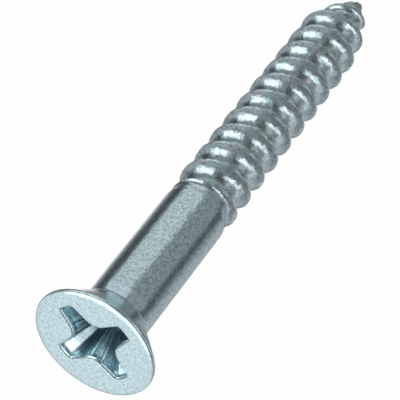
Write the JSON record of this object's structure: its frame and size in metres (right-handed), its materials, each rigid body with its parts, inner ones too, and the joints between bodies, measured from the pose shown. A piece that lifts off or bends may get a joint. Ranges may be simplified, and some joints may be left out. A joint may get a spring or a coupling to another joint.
{
  "type": "wood screw",
  "caption": "Flat-head wood screw with a cross recess, a plain shank and a coarse rolled thread that ends in a gimlet point; it draws itself into timber and sits flush.",
  "frame": {"origin": "centre of the flat top of the head, on the screw's axis", "axes": "+Z along the screw's axis, out of the head; the tip points down -Z; +X along one wing of the cross recess"},
  "size_m": [0.0098, 0.0098, 0.0442],
  "materials": {
    "struck_head": "bright zinc plate with a blue passivate, over a struck face with a fine matt grain",
    "drawn_shank": "bright zinc plate with a blue passivate, over drawn wire with fine pits and length-wise die lines",
    "rolled_thread": "bright zinc plate with a blue passivate, over a thread burnished by rolling"
  },
  "bodies": {
    "root": {"countersunk_head": "struck_head", "plain_shank": "drawn_shank", "threaded_core": "rolled_thread", "thread_ridge": "rolled_thread", "gimlet_point": "rolled_thread"}
  },
  "joints": []
}
